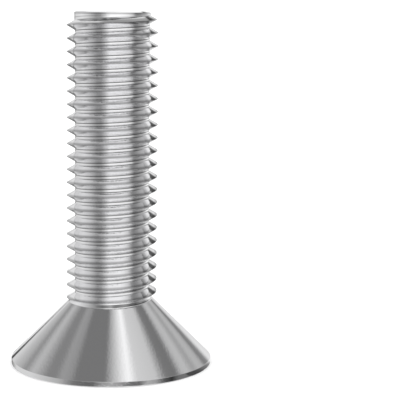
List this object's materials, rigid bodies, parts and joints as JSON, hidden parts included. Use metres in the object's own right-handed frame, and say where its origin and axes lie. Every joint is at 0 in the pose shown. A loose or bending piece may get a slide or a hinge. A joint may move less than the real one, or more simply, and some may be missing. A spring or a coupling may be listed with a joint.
{
  "type": "countersunk socket screw",
  "caption": "Countersunk head screw with a flat head, a hexagon socket and a full length metric thread; fastens a plate flush.",
  "frame": {"origin": "centre of the head's flat face, on the screw's axis", "axes": "+Z along the screw's axis from the head to the threaded tip; two corners of the hexagon socket lie on Y"},
  "size_m": [0.031, 0.031, 0.0544],
  "materials": {
    "polished_steel": "bright turned and rolled steel, polished"
  },
  "bodies": {
    "root": {"socket_screw": "polished_steel"}
  },
  "joints": []
}
